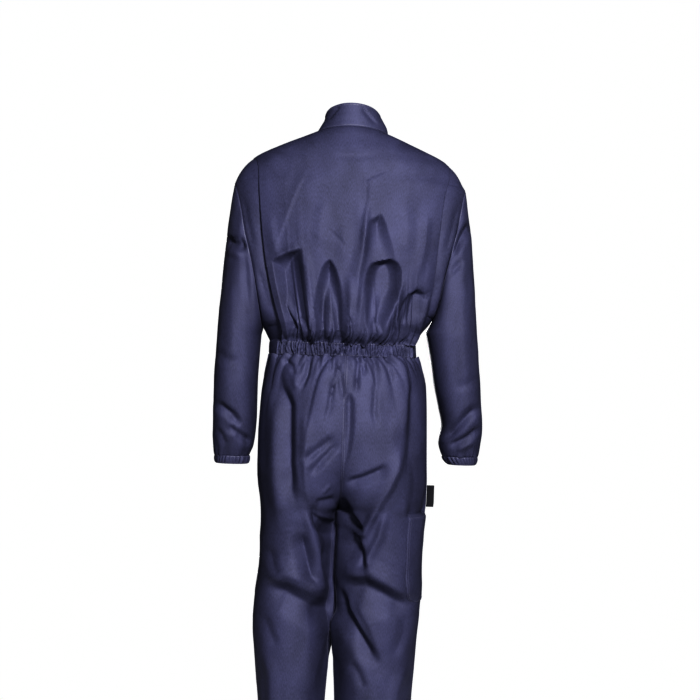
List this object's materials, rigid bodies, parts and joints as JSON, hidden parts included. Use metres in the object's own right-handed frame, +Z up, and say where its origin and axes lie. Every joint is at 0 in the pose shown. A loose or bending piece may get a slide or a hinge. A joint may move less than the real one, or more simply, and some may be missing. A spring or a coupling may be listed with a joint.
{
  "type": "boiler suit",
  "caption": "Long-sleeved navy boiler suit in its worn shape, with a stand collar, action back, elastic waist, gathered cuffs, front zip and a rule pocket.",
  "frame": {"origin": "middle of the neck opening at the level of the shoulders, where the wearer's shoulders hold the suit", "axes": "+Z up along the body, -Y to the front, +X to the wearer's left"},
  "size_m": [0.5885, 0.272, 1.659],
  "materials": {
    "twill": "matte",
    "twill_band": "matte",
    "label": "matte",
    "zip_tape": "matte",
    "zip_coil": "satin",
    "nickel": "satin"
  },
  "bodies": {
    "suit": {"back_centre": "twill", "back_side_left": "twill", "back_side_right": "twill", "front_left": "twill", "front_right": "twill", "sleeve_left": "twill", "sleeve_right": "twill", "collar": "twill", "trouser_back_left": "twill", "trouser_back_right": "twill", "trouser_front_left": "twill", "trouser_front_right": "twill", "rule_pocket": "twill", "waist_elastic": "twill_band", "waistband_front_left": "twill_band", "waistband_front_right": "twill_band", "cuff_left": "twill_band", "cuff_right": "twill_band", "side_label": "label", "zip_tape_left": "zip_tape", "zip_tape_right": "zip_tape", "zip_chain": "zip_coil", "zip_slider": "nickel"},
    "pull_tab": {"zip_pull": "nickel"}
  },
  "joints": [
    {"name": "pull_tab_hinge", "type": "hinge", "parent": "suit", "child": "pull_tab", "pos_m": [0, -0.06448, 0.01004], "axis": [-1, 0, 0], "range_deg": [0, 160]}
  ]
}
